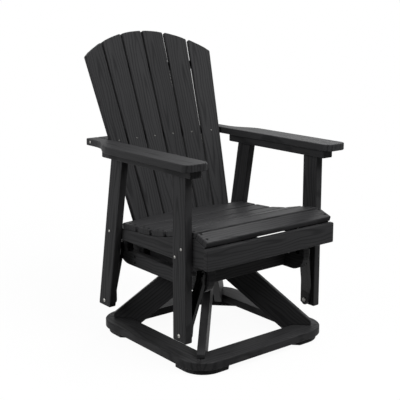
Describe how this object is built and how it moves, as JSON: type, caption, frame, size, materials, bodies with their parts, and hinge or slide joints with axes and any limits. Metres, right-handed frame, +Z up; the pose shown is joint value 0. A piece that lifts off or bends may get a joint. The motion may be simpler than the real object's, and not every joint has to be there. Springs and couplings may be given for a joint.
{
  "type": "adirondack swivel rocker",
  "caption": "Fan-back garden armchair of black boards, hung on four steel links from a carriage that swivels on a square base.",
  "frame": {"origin": "on the floor, in the middle of the ground that the chair covers", "axes": "+Z up; the sitter faces -Y; +X to the right as seen from in front"},
  "size_m": [0.7236, 0.7782, 1.1011],
  "materials": {
    "black_lumber": "matte black poly lumber with a fine embossed grain",
    "black_steel": "black powder coat",
    "stainless_bolts": "plain stainless"
  },
  "bodies": {
    "base": {"frame_front": "black_lumber", "frame_right": "black_lumber", "frame_rear": "black_lumber", "frame_left": "black_lumber", "foot_front_right": "black_lumber", "foot_rear_right": "black_lumber", "foot_rear_left": "black_lumber", "foot_front_left": "black_lumber", "leg_front_right": "black_lumber", "leg_rear_right": "black_lumber", "leg_rear_left": "black_lumber", "leg_front_left": "black_lumber", "leg_hub": "black_lumber", "swivel_lower_plate": "black_steel", "swivel_bearing": "black_steel"},
    "carriage": {"swivel_upper_plate": "black_steel", "carriage_side_left": "black_lumber", "carriage_side_right": "black_lumber", "carriage_cross_front": "black_lumber", "carriage_cross_rear": "black_lumber", "deck_board_front": "black_lumber", "deck_board_rear": "black_lumber", "upper_pin_front_left": "stainless_bolts", "upper_pin_front_right": "stainless_bolts", "upper_pin_rear_left": "stainless_bolts", "upper_pin_rear_right": "stainless_bolts"},
    "link_front_left": {"link_front_left": "black_steel"},
    "link_front_right": {"link_front_right": "black_steel"},
    "link_rear_left": {"link_rear_left": "black_steel"},
    "link_rear_right": {"link_rear_right": "black_steel"},
    "chair": {"post_front_left": "black_lumber", "post_front_right": "black_lumber", "post_rear_left": "black_lumber", "post_rear_right": "black_lumber", "lower_pin_front_left": "stainless_bolts", "lower_pin_front_right": "stainless_bolts", "lower_pin_rear_left": "stainless_bolts", "lower_pin_rear_right": "stainless_bolts", "arm_left": "black_lumber", "arm_right": "black_lumber", "arm_cleat_left": "black_lumber", "arm_cleat_right": "black_lumber", "seat_rail_left": "black_lumber", "seat_rail_right": "black_lumber", "apron": "black_lumber", "seat_slat_1": "black_lumber", "seat_slat_2": "black_lumber", "seat_slat_3": "black_lumber", "seat_slat_4": "black_lumber", "seat_slat_5": "black_lumber", "seat_slat_6": "black_lumber", "back_slat_1": "black_lumber", "back_slat_2": "black_lumber", "back_slat_3": "black_lumber", "back_slat_4": "black_lumber", "back_slat_5": "black_lumber", "back_slat_6": "black_lumber", "back_rail_lower": "black_lumber", "back_rail_arms": "black_lumber", "back_rail_upper": "black_lumber"}
  },
  "joints": [
    {"name": "swivel", "type": "hinge", "parent": "base", "child": "carriage", "pos_m": [0, -0.05914, 0.3], "axis": [0, 0, 1], "continuous": true},
    {"name": "glide", "type": "hinge", "parent": "carriage", "child": "link_front_left", "pos_m": [-0.242, -0.29744, 0.329], "axis": [1, 0, 0], "range_deg": [-15, 15]},
    {"name": "swing_front_right", "type": "hinge", "parent": "carriage", "child": "link_front_right", "pos_m": [0.242, -0.29744, 0.329], "axis": [1, 0, 0], "range_deg": [-15, 15]},
    {"name": "swing_rear_left", "type": "hinge", "parent": "carriage", "child": "link_rear_left", "pos_m": [-0.242, 0.18786, 0.329], "axis": [1, 0, 0], "range_deg": [-15, 15]},
    {"name": "swing_rear_right", "type": "hinge", "parent": "carriage", "child": "link_rear_right", "pos_m": [0.242, 0.18786, 0.329], "axis": [1, 0, 0], "range_deg": [-15, 15]},
    {"name": "chair_tilt", "type": "hinge", "parent": "link_front_left", "child": "chair", "pos_m": [-0.275, -0.27064, 0.128], "axis": [1, 0, 0], "range_deg": [-17, 17]}
  ],
  "couplings": [
    {"joint": "swing_front_right", "follows": "glide", "ratio": 1},
    {"joint": "swing_rear_left", "follows": "glide", "ratio": 1},
    {"joint": "swing_rear_right", "follows": "glide", "ratio": 1},
    {"joint": "chair_tilt", "follows": "glide", "ratio": -1.0682}
  ]
}
